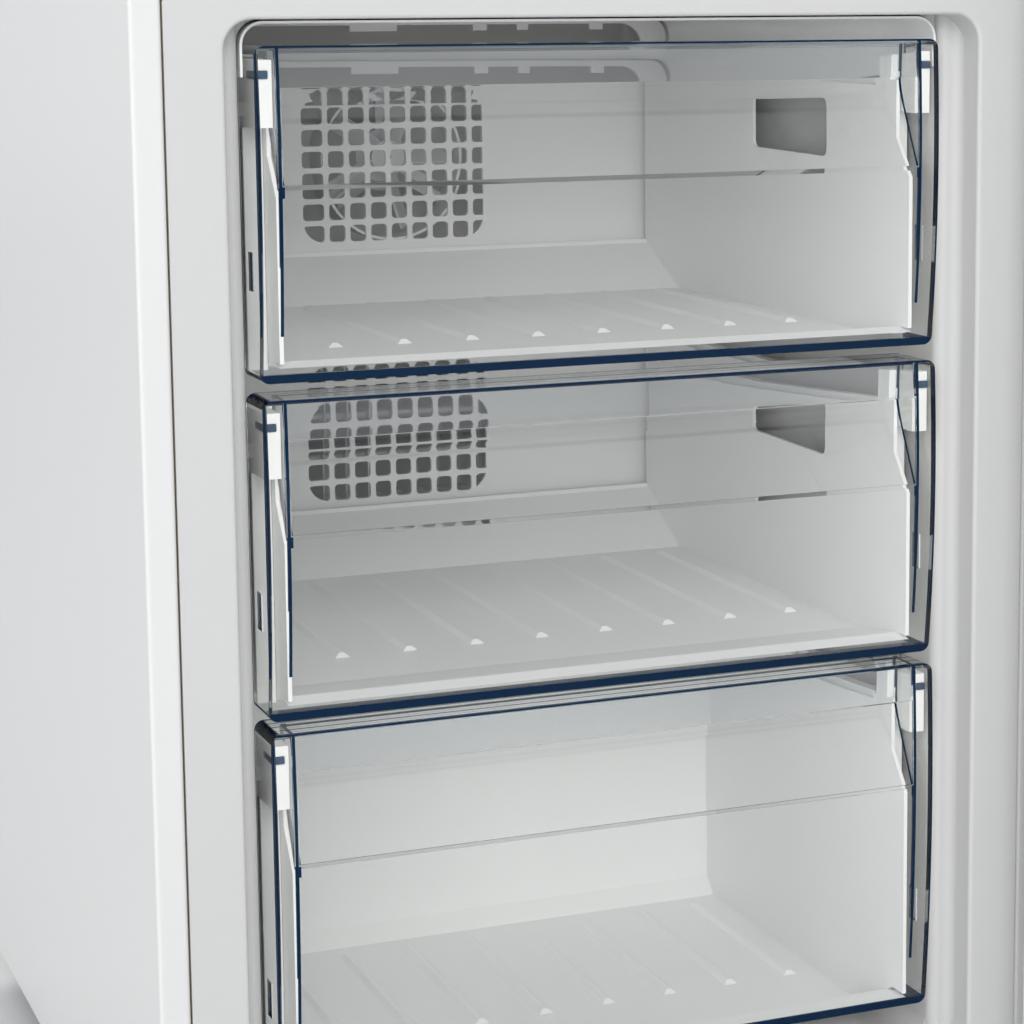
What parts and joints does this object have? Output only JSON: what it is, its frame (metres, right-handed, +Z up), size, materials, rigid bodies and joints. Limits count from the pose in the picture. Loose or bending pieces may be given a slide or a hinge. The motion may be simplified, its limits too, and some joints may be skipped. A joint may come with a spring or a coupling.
{
  "type": "bottom freezer refrigerator",
  "caption": "Free-standing refrigerator with a freezer of sliding drawers below, shelves and a crisper above, two hinged doors and its cooling circuit.",
  "frame": {"origin": "on the floor, under the middle of the cabinet", "axes": "+Z up, +X to the right as seen from the front, +Y from the doors towards the wall"},
  "size_m": [0.9755, 1.1191, 1.876],
  "materials": {
    "painted_steel_white": "semi-gloss white powder coat",
    "galvanised_steel": "galvanised sheet",
    "zinc_plated_steel": "zinc plated",
    "black_painted_steel": "satin black",
    "foam": "rigid polyurethane foam",
    "white_liner": "white polystyrene, gloss",
    "white_plastic": "white, fine satin",
    "clear_blue_plastic": "clear blue polystyrene",
    "clear_plastic": "clear polystyrene",
    "shelf_glass": "toughened clear glass",
    "aluminium": "bare",
    "copper_coloured_metal": "copper tube",
    "black_rubber": "matt",
    "grey_gasket": "soft grey vinyl",
    "black_plastic": "matt",
    "grey_plastic": "satin"
  },
  "bodies": {
    "cabinet": {"left_side_panel": "painted_steel_white", "right_side_panel": "painted_steel_white", "top_panel": "painted_steel_white", "back_panel": "galvanised_steel", "base_frame": "galvanised_steel", "mullion_bar": "painted_steel_white", "insulation_foam": "foam", "freezer_liner": "white_liner", "fridge_liner": "white_liner", "freezer_ceiling_panel": "white_plastic", "evaporator_cover": "white_plastic", "evaporator": "aluminium", "defrost_heater": "aluminium", "fan_motor": "grey_plastic", "air_duct_cover": "white_plastic", "control_housing": "white_plastic", "lamp_cover": "clear_plastic", "upper_shelf": "shelf_glass", "middle_shelf": "shelf_glass", "lower_shelf": "shelf_glass", "crisper_shelf": "shelf_glass", "shelf_trims": "white_plastic", "compressor": "black_painted_steel", "compressor_mounts": "black_rubber", "condenser": "black_painted_steel", "refrigerant_pipes": "copper_coloured_metal", "drip_tray": "black_plastic", "top_hinge": "zinc_plated_steel", "middle_hinge": "zinc_plated_steel", "bottom_hinge": "zinc_plated_steel", "hinge_cover": "white_plastic", "hinge_screws": "zinc_plated_steel"},
    "fridge_door": {"fridge_door_skin": "painted_steel_white", "fridge_door_liner": "white_liner", "fridge_door_foam": "foam", "fridge_door_caps": "white_plastic", "fridge_door_gasket": "grey_gasket", "fridge_door_handle": "grey_plastic", "upper_balcony": "clear_plastic", "middle_balcony": "clear_plastic", "bottle_balcony": "clear_plastic"},
    "freezer_door": {"freezer_door_skin": "painted_steel_white", "freezer_door_liner": "white_liner", "freezer_door_foam": "foam", "freezer_door_caps": "white_plastic", "freezer_door_gasket": "grey_gasket", "freezer_door_handle": "grey_plastic"},
    "top_drawer": {"top_drawer_front": "clear_blue_plastic", "top_drawer_basket": "white_plastic"},
    "middle_drawer": {"middle_drawer_front": "clear_blue_plastic", "middle_drawer_basket": "white_plastic"},
    "bottom_drawer": {"bottom_drawer_front": "clear_blue_plastic", "bottom_drawer_basket": "white_plastic"},
    "crisper": {"crisper_drawer": "clear_plastic"},
    "left_foot": {"left_foot": "black_plastic"},
    "right_foot": {"right_foot": "black_plastic"},
    "left_roller": {"left_roller": "black_plastic"},
    "right_roller": {"right_roller": "black_plastic"},
    "evaporator_fan": {"evaporator_fan": "grey_plastic"},
    "thermostat_knob": {"thermostat_knob": "white_plastic"}
  },
  "joints": [
    {"name": "fridge_door_hinge", "type": "hinge", "parent": "cabinet", "child": "fridge_door", "pos_m": [0.288, -0.32, 1.3], "axis": [0, 0, 1], "range_deg": [-125, 10]},
    {"name": "freezer_door_hinge", "type": "hinge", "parent": "cabinet", "child": "freezer_door", "pos_m": [0.288, -0.32, 0.4], "axis": [0, 0, 1], "range_deg": [-125, 10]},
    {"name": "top_drawer_slide", "type": "slide", "parent": "cabinet", "child": "top_drawer", "axis": [0, -1, 0], "range_m": [0, 0.33]},
    {"name": "middle_drawer_slide", "type": "slide", "parent": "cabinet", "child": "middle_drawer", "axis": [0, -1, 0], "range_m": [0, 0.33]},
    {"name": "bottom_drawer_slide", "type": "slide", "parent": "cabinet", "child": "bottom_drawer", "axis": [0, -1, 0], "range_m": [0, 0.25]},
    {"name": "crisper_slide", "type": "slide", "parent": "cabinet", "child": "crisper", "axis": [0, -1, 0], "range_m": [0, 0.28]},
    {"name": "left_foot_turn", "type": "hinge", "parent": "cabinet", "child": "left_foot", "pos_m": [-0.2525, -0.255, 0.02], "axis": [0, 0, 1], "range_deg": [0, 1800]},
    {"name": "right_foot_turn", "type": "hinge", "parent": "cabinet", "child": "right_foot", "pos_m": [0.2525, -0.255, 0.02], "axis": [0, 0, 1], "range_deg": [0, 1800]},
    {"name": "left_roller_spin", "type": "hinge", "parent": "cabinet", "child": "left_roller", "pos_m": [-0.2495, 0.261, 0.0125], "axis": [1, 0, 0], "continuous": true},
    {"name": "right_roller_spin", "type": "hinge", "parent": "cabinet", "child": "right_roller", "pos_m": [0.2495, 0.261, 0.0125], "axis": [1, 0, 0], "continuous": true},
    {"name": "fan_spin", "type": "hinge", "parent": "cabinet", "child": "evaporator_fan", "pos_m": [0.002, 0.2, 0.64105], "axis": [0, 1, 0], "continuous": true},
    {"name": "thermostat_turn", "type": "hinge", "parent": "cabinet", "child": "thermostat_knob", "pos_m": [0.06, -0.19, 1.812], "axis": [0, 1, 0], "range_deg": [0, 270]}
  ]
}
